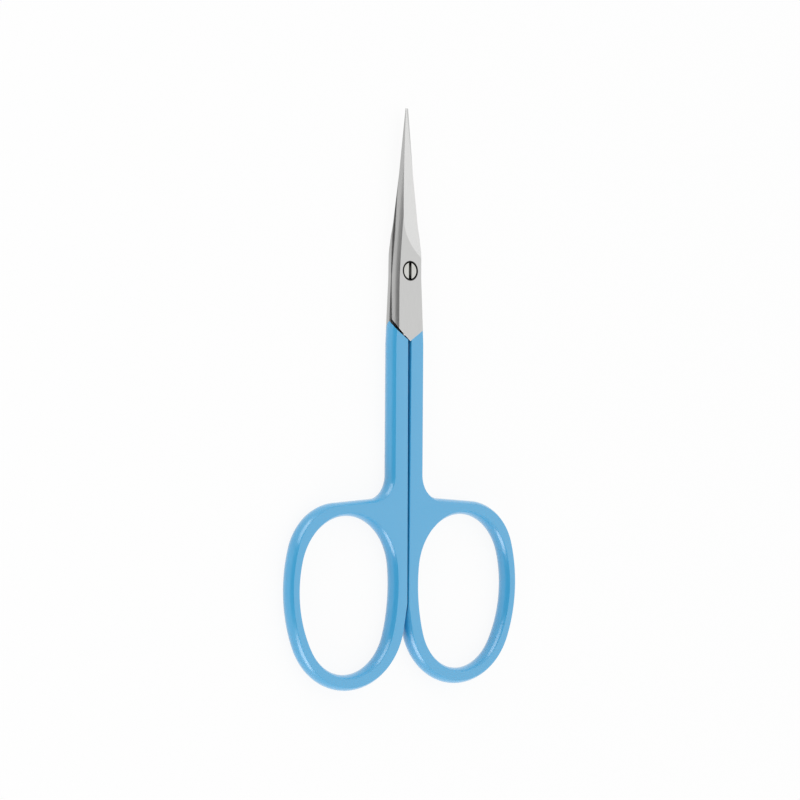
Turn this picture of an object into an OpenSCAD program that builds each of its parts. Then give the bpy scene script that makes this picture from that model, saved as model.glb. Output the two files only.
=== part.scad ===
// Small nail scissors with painted finger rings, closed and lying flat.
// The tips point along +Y and the screw head faces +Z.
// The origin is on the resting plane, under the middle of the whole outline.
// One half is drawn with its pivot at the origin and its outer face up.
// The rear half is the same form turned half a turn about the long axis,
// with its blade set over a little, so that the closed tips cross.

/* [Overall] */
// Distance from the pivot to the blade tips
tip_reach = 28; // [24:0.5:34]
// Thickness of the shanks, the rings and the closed joint
thickness = 3; // [2.5:0.1:3.6]
// How far the rounded sides stand out past the creases of the flat faces
bulge_depth = 0.6; // [0.4:0.05:0.8]

/* [Blades] */
// Half width of the joint on the cutting edge side
edge_half_w = 3.02; // [2.8:0.01:3.3]
// Half width of the joint on the spine side
spine_half_w = 3; // [2.6:0.05:3.1]
// Distance from the pivot to where the straight cutting edge begins
edge_start = 6; // [5.5:0.1:8]
// Distance behind the pivot at which the curve of the spine starts
spine_start = 4; // [3:0.1:5]
// Distance from the pivot to the corner that the curve of the spine rounds off
spine_bend = 5; // [4:0.1:7]
// Half width left at the tip
tip_half_w = 0.08; // [0.07:0.01:0.15]
// Thickness of the blade's outer face above the mating plane at the tip
tip_height = 0.25; // [0.2:0.01:0.4]
// Distance from the pivot to where the outer face starts to thin towards the tip
thin_start = 10; // [8:0.5:12]
// Thickness left at the cutting edge
edge_land = 0.1; // [0.08:0.01:0.15]
// Angle of the ground bevel behind the cutting edge
bevel_angle = 19; // [17:0.5:21]
// Angle at which the rear blade is set over, so that the tips cross
rear_set = 0.9; // [0:0.1:1.5]
// Radius of the wheel that grinds the bevel
wheel_r = 20; // [15:0.5:30]
// Distance from the pivot to the middle of the wheel at the end of its stroke
wheel_stop = 8.6; // [8:0.1:9.5]
// Depth of the hollow in each inner face, at its heel
hollow_depth = 0.15; // [0.1:0.01:0.2]
// Radius of the wheel that grinds the hollow
hollow_r = 16; // [14:0.5:24]
// Distance from the pivot to the heel of the hollow
hollow_start = 5.5; // [4.5:0.1:7]

/* [Joint] */
// Running gap between the two mating faces
ride_gap = 0.05; // [0.03:0.01:0.08]
// Distance from the pivot to the point of the shoulder
shoulder_drop = 12.1; // [11.5:0.1:13]
// Angle at which the shoulder rises across the shank
shoulder_angle = 34; // [30:1:38]
// Angle of the ramp that the shoulder makes through the thickness
ramp_angle = 33; // [28:1:36]
// Angle at which the end of the lap rises towards the spine
lap_end_angle = 44; // [40:1:48]
// Clearance between the end of one lap and the shoulder of the other half
lap_clear = 0.15; // [0.1:0.01:0.3]
// Radius of the screw's neck, on which the front half turns
neck_r = 1; // [0.8:0.05:1.1]
// Radial running clearance round the neck
neck_clear = 0.03; // [0.02:0.01:0.06]
// Radius of the screw's threaded end
thread_r = 0.85; // [0.7:0.05:0.9]
// Radial clearance round the threaded end
thread_clear = 0.02; // [0.01:0.01:0.04]
// Radius of the screw head
head_r = 1.42; // [1.35:0.01:1.5]
// Radial gap round the head in its counterbore
head_clear = 0.2; // [0.15:0.01:0.25]
// Thickness of the screw head
head_h = 0.72; // [0.6:0.01:0.8]
// Depth of the head's top below the front face
head_sink = 0.05; // [0.02:0.01:0.1]
// Gap under the head that lets the front half turn
head_float = 0.03; // [0.02:0.01:0.05]
// Width of the driver slot
slot_w = 0.62; // [0.5:0.01:0.8]
// Depth of the driver slot
slot_depth = 0.4; // [0.3:0.01:0.45]

/* [Shanks] */
// Half width of a shank with the scissors closed
shank_half_w = 3.6; // [3.4:0.05:4]
// Distance from the pivot to where the joint starts to widen
widen_start = 1; // [0:0.1:2]
// Distance from the pivot to where the shank reaches its full width
shank_start = 12.5; // [12:0.1:14]
// Half of the gap between the two halves beside the shoulder
gap_half_top = 0.33; // [0.25:0.01:0.4]
// Half of the gap between the two rings
gap_half_low = 0.16; // [0.13:0.01:0.25]
// Radius of the fillet between the shank and the ring
fillet_r = 4; // [3:0.1:5]
// Slope of the ring's nearly straight top
ring_top_slope = 4; // [2:0.5:6]

/* [Rings] */
// Distance from the pivot down to the centre of the finger hole's upper arc
hole_drop = 51.6; // [50:0.1:56]
// Width of the ring's band beside the gap
inner_band_w = 2.6; // [2.4:0.05:3]
// Radius of the finger hole's upper arc
hole_top_r = 9.8; // [9.2:0.1:10.4]
// Radius of the finger hole's lower arc
hole_low_r = 8.9; // [8.4:0.1:9.4]
// Distance between the centres of those two arcs
hole_span = 8; // [7:0.1:10]
// How much nearer to the gap the lower centre lies
hole_lean = 0.2; // [0.1:0.05:0.4]
// Radius of the finger hole's outer side
hole_outer_r = 20; // [18:0.5:24]
// Radius of the finger hole's side beside the gap
hole_inner_r = 30; // [25:0.5:40]
// How far outwards the band's upper corner centre lies from the hole's
corner_out = 1.9; // [1.6:0.1:2.2]
// How far up the band's upper corner centre lies from the hole's
corner_up = 2.1; // [1.9:0.1:2.4]
// How much the band's upper corner radius exceeds the hole's
corner_grow = 0.2; // [0:0.1:0.5]
// How far the band's lower centre lies towards the gap from the hole's
heel_in = 0.3; // [0.2:0.1:0.5]
// How far up the band's lower centre lies from the hole's
heel_up = 0.4; // [0.2:0.1:0.5]
// How much the band's lower radius exceeds the hole's
heel_grow = 3.1; // [3:0.1:3.4]
// Radius of the band's outer side
band_side_r = 26; // [24:0.5:30]
// Slope at which the band leaves its lower arc beside the gap
heel_slope = 10; // [8:0.5:12]

/* [Coat] */
// Thickness of the blue coat
coat_t = 0.15; // [0.1:0.01:0.2]

/* [Hidden] */
steel = [0.78, 0.78, 0.78];
blue = [0.4, 0.66, 0.85];
// Overrun of every cut
over = 0.5;
// How far the wheel bites under the plane of the bevel at its heel
wheel_bite = 0.02;
// How far above the mating face the core's root lies inside the lap
root_lift = 0.05;
half_turn = 180;
half_t = thickness / 2;
mate_z = ride_gap / 2;
// Radius of the rounded sides, through the middle and both creases
bulge_r = (half_t * half_t + bulge_depth * bulge_depth) / (2 * bulge_depth);
// Heights of the rounded side's rings, as shares of the half thickness
level_shares = [-1, -0.62, 0, 0.62, 1];
// Heights of the blade's rings, as shares of its own height
lap_shares = [0, 0.4, 0.75, 1];
// Number of straight steps in each curve
fillet_steps = 8;
corner_steps = 12;
side_steps = 8;
heel_steps = 14;
hole_end_steps = 26;
hole_side_steps = 6;
blade_steps = 10;
// Number of facets round each wheel and round each bore and pin
wheel_facets = 96;
bore_facets = 64;

// Centre of an arc of radius r that runs inside two end circles, on side s
function side_centre(top, top_r, low, low_r, r, s) =
    let (v = low - top, d = norm(v), u = v / d)
    let (a = r - top_r, b = r - low_r)
    let (along = (a * a - b * b + d * d) / (2 * d))
    top + u * along - s * [-u.y, u.x] * sqrt(a * a - along * along);

// Direction from one point to another
function heading(from, to) = atan2(to.y - from.y, to.x - from.x);

// Points of an arc without its last one, each with its outward normal
function arc_points(c, r, from, to, n, s = 1) =
    [for (i = [0 : n - 1]) let (a = from + (to - from) * i / n)
        [c.x + r * cos(a), c.y + r * sin(a), s * cos(a), s * sin(a)]];

// How far a rounded side has drawn in at height z, on a form set in by inset
function side_draw(z, inset) =
    let (r = bulge_r - inset) r - sqrt(r * r - z * z);

// Finger hole, as two end circles joined by two flatter arcs
hole_low_rel = [-hole_lean, -hole_span];
inner_centre_rel = side_centre([0, 0], hole_top_r, hole_low_rel, hole_low_r, hole_inner_r, -1);
hole_out = gap_half_low + inner_band_w + hole_inner_r - inner_centre_rel.x;
hole_top_c = [hole_out, -hole_drop];
hole_low_c = hole_top_c + hole_low_rel;
hole_inner_c = hole_top_c + inner_centre_rel;
hole_outer_c = side_centre(hole_top_c, hole_top_r, hole_low_c, hole_low_r, hole_outer_r, 1);

// Outer edge of the ring
corner_r = hole_top_r + corner_grow;
corner_c = hole_top_c + [corner_out, corner_up];
heel_r = hole_low_r + heel_grow;
heel_c = hole_low_c + [-heel_in, heel_up];
band_side_c = side_centre(corner_c, corner_r, heel_c, heel_r, band_side_r, 1);
side_top_a = heading(band_side_c, corner_c);
side_low_a = heading(band_side_c, heel_c);
ring_top_a = 90 - ring_top_slope;

// The fillet touches the shank's side and the ring's straight top
fillet_x = shank_half_w + fillet_r;
fillet_y = corner_c.y + (corner_r + fillet_r
    - (fillet_x - corner_c.x) * cos(ring_top_a)) / sin(ring_top_a);
fillet_c = [fillet_x, fillet_y];

// Side beside the gap before it is ground flat
heel_a = half_turn + heel_slope;
heel_x = heel_c.x + heel_r * cos(heel_a);
heel_y = heel_c.y + heel_r * sin(heel_a);

// The whole outline ends at the blade tips and at the bottom of the rings
ring_bottom = heel_c.y - heel_r;
shift_y = -(tip_reach + ring_bottom) / 2;
// The painted form starts above the highest point of the shoulder
form_top = -shoulder_drop + shank_half_w * tan(shoulder_angle)
    + half_t * tan(ramp_angle) / cos(shoulder_angle) + over;
reach = tip_reach - ring_bottom;

// Half width on the cutting edge side
function edge_x(y) =
    y > edge_start
        ? tip_half_w + (edge_half_w - tip_half_w) * (tip_reach - y) / (tip_reach - edge_start)
    : y > -widen_start ? edge_half_w
    : y > -shank_start
        ? edge_half_w + (shank_half_w - edge_half_w) * (-widen_start - y) / (shank_start - widen_start)
    : shank_half_w;

// The spine leaves the joint's straight side in one parabola that ends at the tip
function spine_t(y) =
    let (a = tip_reach - 2 * spine_bend - spine_start, b = 2 * (spine_bend + spine_start))
    (-b + sqrt(b * b + 4 * a * (spine_start + y))) / (2 * a);
function spine_x(y) =
    y < -spine_start ? -spine_half_w
    : let (t = spine_t(y)) -spine_half_w + (spine_half_w - tip_half_w) * t * t;

// Height of the outer face before the bevel is ground
function face_z(y) =
    y < thin_start ? half_t
    : half_t - (half_t - tip_height) * (y - thin_start) / (tip_reach - thin_start);

// Right side of the painted form, from the joint down to the bottom of the ring
right_chain = concat(
    [[edge_x(form_top), form_top, 1, 0],
     [shank_half_w, -shank_start, 1, 0]],
    arc_points(fillet_c, fillet_r, half_turn, half_turn + ring_top_a, fillet_steps, -1),
    arc_points(fillet_c, fillet_r, half_turn + ring_top_a, half_turn, 1, -1),
    arc_points(corner_c, corner_r, ring_top_a, side_top_a, corner_steps),
    arc_points(band_side_c, band_side_r, side_top_a, side_low_a, side_steps),
    arc_points(heel_c, heel_r, side_low_a, -90, heel_steps),
    arc_points(heel_c, heel_r, -90, 0, 1));
rows = len(right_chain);

// Left side of the form moved out by move, before the gap is ground
function left_x(y, move) =
    let (line_x = heel_x + cos(heel_a) * move, line_y = heel_y + sin(heel_a) * move)
    let (r = heel_r + move, drop = y - heel_c.y)
    y > line_y ? max(line_x - (y - line_y) * tan(heel_slope), -spine_half_w - move)
    : heel_c.x - sqrt(max(0, r * r - drop * drop));

hole_loop = concat(
    arc_points(hole_top_c, hole_top_r, heading(hole_inner_c, hole_top_c),
        heading(hole_outer_c, hole_top_c), hole_end_steps),
    arc_points(hole_outer_c, hole_outer_r, heading(hole_outer_c, hole_top_c),
        heading(hole_outer_c, hole_low_c), hole_side_steps),
    arc_points(hole_low_c, hole_low_r, heading(hole_outer_c, hole_low_c),
        heading(hole_inner_c, hole_low_c), hole_end_steps),
    arc_points(hole_inner_c, hole_inner_r, 360 + heading(hole_inner_c, hole_low_c),
        heading(hole_inner_c, hole_top_c), hole_side_steps));

// One ring of points at height z, each moved along its normal
function ring_at(loop, z, move) = [for (p = loop) [p.x + p[2] * move, p.y + p[3] * move, z]];

// The painted form's ring at height z, with each left point level with its right point
function form_ring(z, move) =
    let (right = ring_at(right_chain, z, move))
    concat(right, [for (i = [rows - 2 : -1 : 0]) [left_x(right[i].y, move), right[i].y, z]]);

// Triangles between rings of n points, one above the other
function wall_faces(n, rings) =
    [for (k = [0 : rings - 2]) for (j = [0 : n - 1]) for (half = [0, 1])
        let (a = k * n + j, b = k * n + (j + 1) % n)
        half == 0 ? [a, b, b + n] : [a, b + n, a + n]];

// Solid of the painted half with its rounded sides, set in all round by inset
module handle_form(inset) {
    n = 2 * rows - 1;
    height = half_t - inset;
    points = [for (s = level_shares)
        each form_ring(s * height, -inset - side_draw(s * height, inset))];
    last = (len(level_shares) - 1) * n;
    caps = [for (i = [0 : rows - 2]) for (top = [0, 1])
        let (a = i, b = i + 1, c = n - 2 - i, d = n - 1 - i)
        let (quad = b == c ? [a, b, d] : [a, b, c, d], m = len(quad))
        top == 1 ? [for (q = quad) q + last] : [for (j = [m - 1 : -1 : 0]) quad[j]]];
    polyhedron(points, concat(wall_faces(n, len(level_shares)), caps));
}

// Plug that opens the finger hole, widest at the faces, for a form set in by inset
module hole_plug(inset) {
    n = len(hole_loop);
    height = half_t - inset;
    rim = inset + side_draw(height, inset);
    points = concat(
        ring_at(hole_loop, -height - over, rim),
        [for (s = level_shares)
            each ring_at(hole_loop, s * height, inset + side_draw(s * height, inset))],
        ring_at(hole_loop, height + over, rim));
    rings = len(level_shares) + 2;
    caps = [[for (j = [n - 1 : -1 : 0]) j], [for (j = [0 : n - 1]) (rings - 1) * n + j]];
    polyhedron(points, concat(wall_faces(n, rings), caps));
}

// Half space above the shoulder's ramp on the lap's side of the half
module above_shoulder() {
    translate([0, -shoulder_drop, half_t])
        rotate([0, 0, shoulder_angle])
            rotate([ramp_angle, 0, 0])
                translate([-reach, 0, -reach])
                    cube([2 * reach, reach, 2 * reach]);
}

// Everything on the other half's side of the ground gap
module beyond_gap(inset) {
    slope = (gap_half_top - gap_half_low) / (hole_drop - shoulder_drop);
    top_x = gap_half_top + inset + slope * (form_top + over + shoulder_drop);
    low_x = gap_half_top + inset + slope * (ring_bottom - over + shoulder_drop);
    translate([0, 0, -half_t - over])
        linear_extrude(thickness + 2 * over)
            polygon([[-reach, form_top + over], [top_x, form_top + over],
                [low_x, ring_bottom - over], [-reach, ring_bottom - over]]);
}

// Shank and ring below the shoulder, set in by inset, ending past the ramps by past
module handle(inset, past) {
    difference() {
        handle_form(inset);
        hole_plug(inset);
        beyond_gap(inset);
        translate([0, past, 0]) above_shoulder();
        translate([0, past, 0]) mirror([0, 0, 1]) above_shoulder();
    }
}

// How far a blade that is set over by an angle lies aside
function set_x(y, set) = -tan(set) * max(0, y);

// Blade and joint before grinding, from the mating plane up to the outer face
module lap_form(set) {
    ys = concat(
        [for (i = [0 : blade_steps]) tip_reach + (edge_start - tip_reach) * i / blade_steps],
        [(edge_start - widen_start) / 2, 0, -widen_start, -spine_start, -shank_start - over]);
    n = 2 * len(lap_shares);
    points = [for (y = ys) each concat(
        [for (s = lap_shares) let (z = mate_z + s * (face_z(y) - mate_z))
            [spine_x(y) + set_x(y, set) + side_draw(z, 0), y, z]],
        [for (k = [len(lap_shares) - 1 : -1 : 0])
            let (z = mate_z + lap_shares[k] * (face_z(y) - mate_z))
            [edge_x(y) + set_x(y, set) - side_draw(z, 0), y, z]])];
    caps = [[for (j = [n - 1 : -1 : 0]) j], [for (j = [0 : n - 1]) (len(ys) - 1) * n + j]];
    polyhedron(points, concat(wall_faces(n, len(ys)), caps));
}

// Wheel and straight stroke that grind the bevel behind the cutting edge
module bevel_grind() {
    edge_lean = atan((edge_half_w - tip_half_w) / (tip_reach - edge_start));
    stroke = (tip_reach - wheel_stop) / cos(edge_lean);
    span = 2 * edge_half_w + 2 * spine_half_w;
    translate([tip_half_w, tip_reach, edge_land])
        rotate([0, 0, edge_lean])
            rotate([0, bevel_angle, 0]) {
                translate([-span / 2, -stroke, wheel_r - wheel_bite])
                    rotate([0, 90, 0])
                        cylinder(h = span, r = wheel_r, $fn = wheel_facets);
                translate([-span / 2, -stroke, 0])
                    cube([span, stroke + over, thickness]);
            }
}

// Wheel that hollows the inner face, deepest at the heel and running out at the tip
module hollow_grind() {
    stroke = tip_reach - hollow_start;
    translate([0, hollow_start, mate_z + hollow_depth - hollow_r])
        rotate([-90 - atan(hollow_depth / stroke), 0, 0])
            cylinder(h = stroke + over, r = hollow_r, $fn = wheel_facets);
}

// Blade and lap of one half, ground and cut to its shoulder
module lap(set) {
    difference() {
        intersection() {
            lap_form(set);
            above_shoulder();
        }
        translate([0, -shoulder_drop + lap_clear, half_t])
            rotate([0, 0, -lap_end_angle])
                rotate([ramp_angle, 0, 0])
                    translate([-reach, -reach, -reach])
                        cube([2 * reach, reach, 2 * reach]);
        rotate([0, 0, set]) bevel_grind();
        hollow_grind();
    }
}

// Steel inside the coat, with a root that goes on into the lap
module core() {
    difference() {
        handle_form(coat_t);
        hole_plug(coat_t);
        beyond_gap(coat_t);
        translate([0, over, 0]) above_shoulder();
        intersection() {
            mirror([0, 0, 1]) above_shoulder();
            translate([-reach, -reach, mate_z + root_lift - reach]) cube([2 * reach, 2 * reach, reach]);
        }
    }
}

// One forged half without its screw hole, its blade set over by an angle
module forged_half(set) {
    lap(set);
    core();
}

// Coat over the shank and ring of one half
module coat() {
    difference() {
        handle(0, 0);
        handle(coat_t, over);
    }
}

// Places a half with the lap in front or behind
module in_front() { translate([0, shift_y, half_t]) children(); }
module behind() { translate([0, shift_y, half_t]) rotate([0, half_turn, 0]) children(); }

module front_half() {
    bore = half_t + 2 * over;
    seat_z = half_t - head_sink - head_h - head_float;
    color(steel) in_front() difference() {
        forged_half(0);
        translate([0, 0, -over]) cylinder(h = bore, r = neck_r + neck_clear, $fn = bore_facets);
        translate([0, 0, seat_z]) cylinder(h = half_t, r = head_r + head_clear, $fn = bore_facets);
    }
}

module rear_half() {
    bore = half_t + 2 * over;
    color(steel) behind() difference() {
        forged_half(rear_set);
        translate([0, 0, -over]) cylinder(h = bore, r = thread_r + thread_clear, $fn = bore_facets);
    }
}

module front_coat() { color(blue) in_front() coat(); }

module rear_coat() { color(blue) behind() coat(); }

// Slotted screw, with its neck standing on the rear half's mating face
module pivot_screw() {
    head_z = half_t - head_sink - head_h;
    color(steel) in_front() difference() {
        union() {
            translate([0, 0, head_z]) cylinder(h = head_h, r = head_r, $fn = bore_facets);
            translate([0, 0, -mate_z]) cylinder(h = head_z + mate_z, r = neck_r, $fn = bore_facets);
            translate([0, 0, -half_t]) cylinder(h = half_t - mate_z, r = thread_r, $fn = bore_facets);
        }
        translate([-slot_w / 2, -head_r - over, half_t - head_sink - slot_depth])
            cube([slot_w, 2 * head_r + 2 * over, slot_depth + over]);
    }
}

front_half();
rear_half();
front_coat();
rear_coat();
pivot_screw();
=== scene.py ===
# %% [markdown]
# These are small nail scissors: two steel forgings that turn on one slotted
# screw, with a light blue powder coat over the shanks and finger rings.
# They lie closed on a white table, and the tips point along +Y.
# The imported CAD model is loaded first. It fixes where everything is, so all
# that this script makes is placed from it and moves with its bodies.

import math

import bmesh
import bpy
import numpy as np
from mathutils import Matrix, Vector
from mathutils.geometry import tessellate_polygon


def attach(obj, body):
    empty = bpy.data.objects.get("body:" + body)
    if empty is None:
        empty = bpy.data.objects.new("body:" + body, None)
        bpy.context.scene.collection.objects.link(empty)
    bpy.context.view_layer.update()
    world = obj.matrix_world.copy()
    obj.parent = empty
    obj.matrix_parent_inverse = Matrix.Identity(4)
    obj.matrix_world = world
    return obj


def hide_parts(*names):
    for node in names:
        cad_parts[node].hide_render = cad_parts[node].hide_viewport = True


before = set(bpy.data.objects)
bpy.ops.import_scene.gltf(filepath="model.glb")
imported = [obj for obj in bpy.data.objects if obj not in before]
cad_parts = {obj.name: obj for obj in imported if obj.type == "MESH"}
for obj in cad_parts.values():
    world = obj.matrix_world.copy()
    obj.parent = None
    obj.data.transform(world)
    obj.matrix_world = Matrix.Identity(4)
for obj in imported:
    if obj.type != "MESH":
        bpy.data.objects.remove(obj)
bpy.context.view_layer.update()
MM = 0.001

# %% [markdown]
# Colours are picked as sRGB hex values, the way a designer reads them off a
# swatch, but shaders do their sums in linear light. One function turns them.
# A second small function adds a node of any kind, in a material or in
# Geometry Nodes, sets it up, links its inputs and hands back one output.


# %% Colour and node helpers
def linear(hex_colour):
    """sRGB hex to linear RGBA."""
    parts = [int(hex_colour[i : i + 2], 16) / 255 for i in (1, 3, 5)]
    return (*[c / 12.92 if c <= 0.04045 else ((c + 0.055) / 1.055) ** 2.4 for c in parts], 1.0)


def add(tree, kind, inputs=None, out=0, **settings):
    """Adds one node. An input is a value, a socket to link from, or a list of sockets."""
    node = tree.nodes.new(kind)
    for name, value in settings.items():
        setattr(node, name, value)
    for key, value in (inputs or {}).items():
        for one in value if isinstance(value, list) else [value]:
            if isinstance(one, bpy.types.NodeSocket):
                tree.links.new(one, node.inputs[key])
            else:
                node.inputs[key].default_value = one
    return node.outputs[out] if node.outputs else node


print("steel grey in linear light:", [round(v, 3) for v in linear("#C8C8C8")])

# %% [markdown]
# The camera stands where the photographer's did. Fitting the outline of the
# scissors gave its turn about the long axis, its small tilt and roll, and
# its distance, which is near enough for a little perspective to show.

# %% Camera
TURN, TILT, ROLL = math.radians(39.731), math.radians(-0.867), math.radians(-0.368)
DISTANCE, ASIDE, BESIDE = 451.64, 0.820, 22.092  # mm
PIXELS_PER_MM, FRAME_PIXELS, SENSOR = 5.83, 800, 36.0
PIVOT = Vector((0, 21.6, 1.5)) * MM

to_view = Matrix.Rotation(ROLL, 3, "Z") @ Matrix.Rotation(TILT, 3, "X") @ Matrix.Rotation(TURN, 3, "Y")
camera_data = bpy.data.cameras.new("camera")
camera_data.lens = PIXELS_PER_MM * DISTANCE / FRAME_PIXELS * SENSOR
camera_data.sensor_width = SENSOR
camera_data.clip_start = 0.01
camera = bpy.data.objects.new("camera", camera_data)
bpy.context.scene.collection.objects.link(camera)
eye = to_view.transposed() @ Vector((-ASIDE, -BESIDE, DISTANCE)) * MM + PIVOT
camera.matrix_world = Matrix.Translation(eye) @ to_view.transposed().to_4x4()
bpy.context.scene.camera = camera
print("camera at mm:", [round(v / MM) for v in eye], "lens", round(camera_data.lens, 1))

# %% [markdown]
# Both halves are one forging, turned half a turn about the long axis, so one
# half is worked out and used twice. Only the rear blade is set over a little,
# which makes the closed tips cross. These are the sizes in millimetres, with
# the pivot at the origin and the outer face up, as on the CAD model.

# %% Sizes of one half
HALF_T, BULGE, COAT = 1.5, 0.6, 0.15
BULGE_R = (HALF_T**2 + BULGE**2) / (2 * BULGE)
TIP_REACH, EDGE_W, SPINE_W, SHANK_W = 28.0, 3.02, 3.0, 3.6
TIP_W, EDGE_START, REAR_SET = 0.08, 6.0, math.radians(0.9)
SHOULDER_DROP, SHOULDER_ANGLE, RAMP_ANGLE = 12.1, math.radians(34), math.radians(33)
WIDEN_START, SHANK_START = 1.0, 12.5
FORM_TOP = -7.9  # the ring and shank's form ends here, inside the lap
GAP_TOP, GAP_LOW, HOLE_DROP = 0.33, 0.16, 51.6


def side_centre(top, top_r, low, low_r, r, side):
    """Centre of an arc of radius r that runs inside two end circles."""
    v = low - top
    d = np.hypot(*v)
    u, a, b = v / d, r - top_r, r - low_r
    along = (a * a - b * b + d * d) / (2 * d)
    return top + u * along - side * np.array([-u[1], u[0]]) * math.sqrt(a * a - along * along)


def heading(start, end):
    return math.degrees(math.atan2(end[1] - start[1], end[0] - start[0]))


HOLE_TOP_R, HOLE_LOW_R, HOLE_IN_R, HOLE_OUT_R = 9.8, 8.9, 30.0, 20.0  # its two ends and two sides
INNER_BAND_W, BAND_SIDE_R = 2.6, 26.0
LOW_SHIFT = np.array([-0.2, -8.0])
CORNER_SHIFT, HEEL_SHIFT = np.array([1.9, 2.1]), np.array([-0.3, 0.4])
inner_shift = side_centre(np.zeros(2), HOLE_TOP_R, LOW_SHIFT, HOLE_LOW_R, HOLE_IN_R, -1)
hole_top = np.array([GAP_LOW + INNER_BAND_W + HOLE_IN_R - inner_shift[0], -HOLE_DROP])
hole_low = hole_top + LOW_SHIFT
hole_in = hole_top + inner_shift
hole_out = side_centre(hole_top, HOLE_TOP_R, hole_low, HOLE_LOW_R, HOLE_OUT_R, 1)
corner, corner_r = hole_top + CORNER_SHIFT, 10.0
heel, heel_r = hole_low + HEEL_SHIFT, 12.0
band_side = side_centre(corner, corner_r, heel, heel_r, BAND_SIDE_R, 1)
print("finger hole centres in mm:", hole_top.round(2), hole_low.round(2))

# %% [markdown]
# The ring and shank are a flat form with rounded sides. A real maker forges
# it and then grinds both faces flat, which leaves a crease where face and
# side meet. So each outline is a chain of arcs, every point carries its
# outward normal, and the form is a stack of levels, each drawn in along the
# normals. The creases get a small radius, because coat never holds a sharp
# edge, and this radius is what catches the thin lines of light.


# %% Outline of the ring and shank
def arc(centre, r, start, end, count, way=1):
    """Points of an arc without its last, each with its outward normal."""
    turn = np.radians(np.linspace(start, end, count, endpoint=False))
    out = np.stack([np.cos(turn), np.sin(turn)], 1)
    return np.hstack([centre + r * out, way * out])


def straight(start, end, normal, count):
    """Points of a straight line without its last, with one normal."""
    share = np.linspace(0, 1, count, endpoint=False)[:, None]
    at = np.array(start) * (1 - share) + np.array(end) * share
    return np.hstack([at, np.tile(normal, (count, 1))])


TOP_SLOPE, HEEL_SLOPE, FILLET_R = 86, 10, 4.0  # degrees, degrees and mm
top_normal = np.array([math.cos(math.radians(TOP_SLOPE)), math.sin(math.radians(TOP_SLOPE))])
fillet_x = SHANK_W + FILLET_R
fillet_y = corner[1] + (corner_r + FILLET_R - (fillet_x - corner[0]) * top_normal[0]) / top_normal[1]
fillet = np.array([fillet_x, fillet_y])
widen = (SHANK_W - EDGE_W) / (SHANK_START - WIDEN_START)
form_top_x = EDGE_W + widen * (-WIDEN_START - FORM_TOP)
fillet_end = fillet - FILLET_R * top_normal
corner_start = corner + corner_r * top_normal

# A whole number in each straight, and in each arc after its two angles, is its count of points.
right_side = np.vstack([
    straight((form_top_x, FORM_TOP), (SHANK_W, -SHANK_START), (1, 0), 8),
    straight((SHANK_W, -SHANK_START), (SHANK_W, fillet_y), (1, 0), 16),
    arc(fillet, FILLET_R, 180, 180 + TOP_SLOPE, 28, -1),
    straight(fillet_end, corner_start, top_normal, 8),
    arc(corner, corner_r, TOP_SLOPE, heading(band_side, corner), 44),
    arc(band_side, BAND_SIDE_R, heading(band_side, corner), heading(band_side, heel), 30),
    arc(heel, heel_r, heading(band_side, heel), -180 + HEEL_SLOPE, 84),
])
hole_side = np.vstack([
    arc(hole_top, HOLE_TOP_R, heading(hole_in, hole_top), heading(hole_out, hole_top), 90),
    arc(hole_out, HOLE_OUT_R, heading(hole_out, hole_top), heading(hole_out, hole_low), 30),
    arc(hole_low, HOLE_LOW_R, heading(hole_out, hole_low), heading(hole_in, hole_low), 90),
    arc(hole_in, HOLE_IN_R, 360 + heading(hole_in, hole_low), heading(hole_in, hole_top), 24),
])
print("outline points:", len(right_side), "hole points:", len(hole_side))

# %% [markdown]
# A level of the form is a closed loop: down the outer side, round the
# bottom, up the heel to the ground gap, and up the gap to the top. Where
# the heel meets the gap moves with the level, so it is worked out each time.

# %% Levels of the form
GAP_SLOPE = (GAP_TOP - GAP_LOW) / (HOLE_DROP - SHOULDER_DROP)
CREASE_R, CORE_CREASE_R = 0.13, 0.02
FACET = 0.012  # mm by which the flat sides of the CAD outline fall short of true arcs
HEEL_POINTS, GAP_POINTS = 7, 40
SIDE_SHARES = np.linspace(0, 0.9, 9)  # heights of the levels up a rounded side, as shares of the whole
CREASE_TURNS = (46, 36, 27, 18, 9, 0)  # degrees still to turn at each level of a crease
LEVEL_APART = 0.02  # mm that the last level of the side keeps below the first of the crease


def draw_in(z, inset, crease):
    """How far the rounded side and the gap wall lie inside the outline."""
    top, r = HALF_T - inset, BULGE_R - inset
    centre = -r + math.sqrt((r - crease) ** 2 - (top - crease) ** 2)
    touch = r * (top - crease) / (r - crease)
    z = abs(z)
    side = r - math.sqrt(r * r - z * z)
    if z > touch:
        side = -centre - math.sqrt(max(0, crease**2 - (z - top + crease) ** 2))
    past = max(0, z - top + crease)
    return side + inset, crease - math.sqrt(max(0, crease**2 - past**2)) + inset


def level(z, inset, crease):
    """Outer loop and hole loop of the form at height z."""
    side, wall = draw_in(z, inset, crease)
    chain = right_side[:, :2] - right_side[:, 2:] * (side + FACET)
    lean = math.radians(HEEL_SLOPE)
    foot = heel - (heel_r - side - FACET) * np.array([math.cos(lean), math.sin(lean)])
    gap_x = lambda y: GAP_TOP + wall + GAP_SLOPE * (y + SHOULDER_DROP)
    climb = (foot[0] - gap_x(foot[1])) / (math.sin(lean) + GAP_SLOPE * math.cos(lean))
    meet = foot + climb * np.array([-math.sin(lean), math.cos(lean)])
    rise = np.linspace(0, 1, HEEL_POINTS)[:-1, None]
    heights = np.linspace(meet[1], FORM_TOP, GAP_POINTS)
    wall_points = np.stack([gap_x(heights), heights], 1)
    outer = np.vstack([chain, foot * (1 - rise) + meet * rise, wall_points])
    hole = hole_side[:, :2] + hole_side[:, 2:] * side
    return [np.hstack([loop, np.full((len(loop), 1), z)]) for loop in (outer, hole)]


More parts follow.
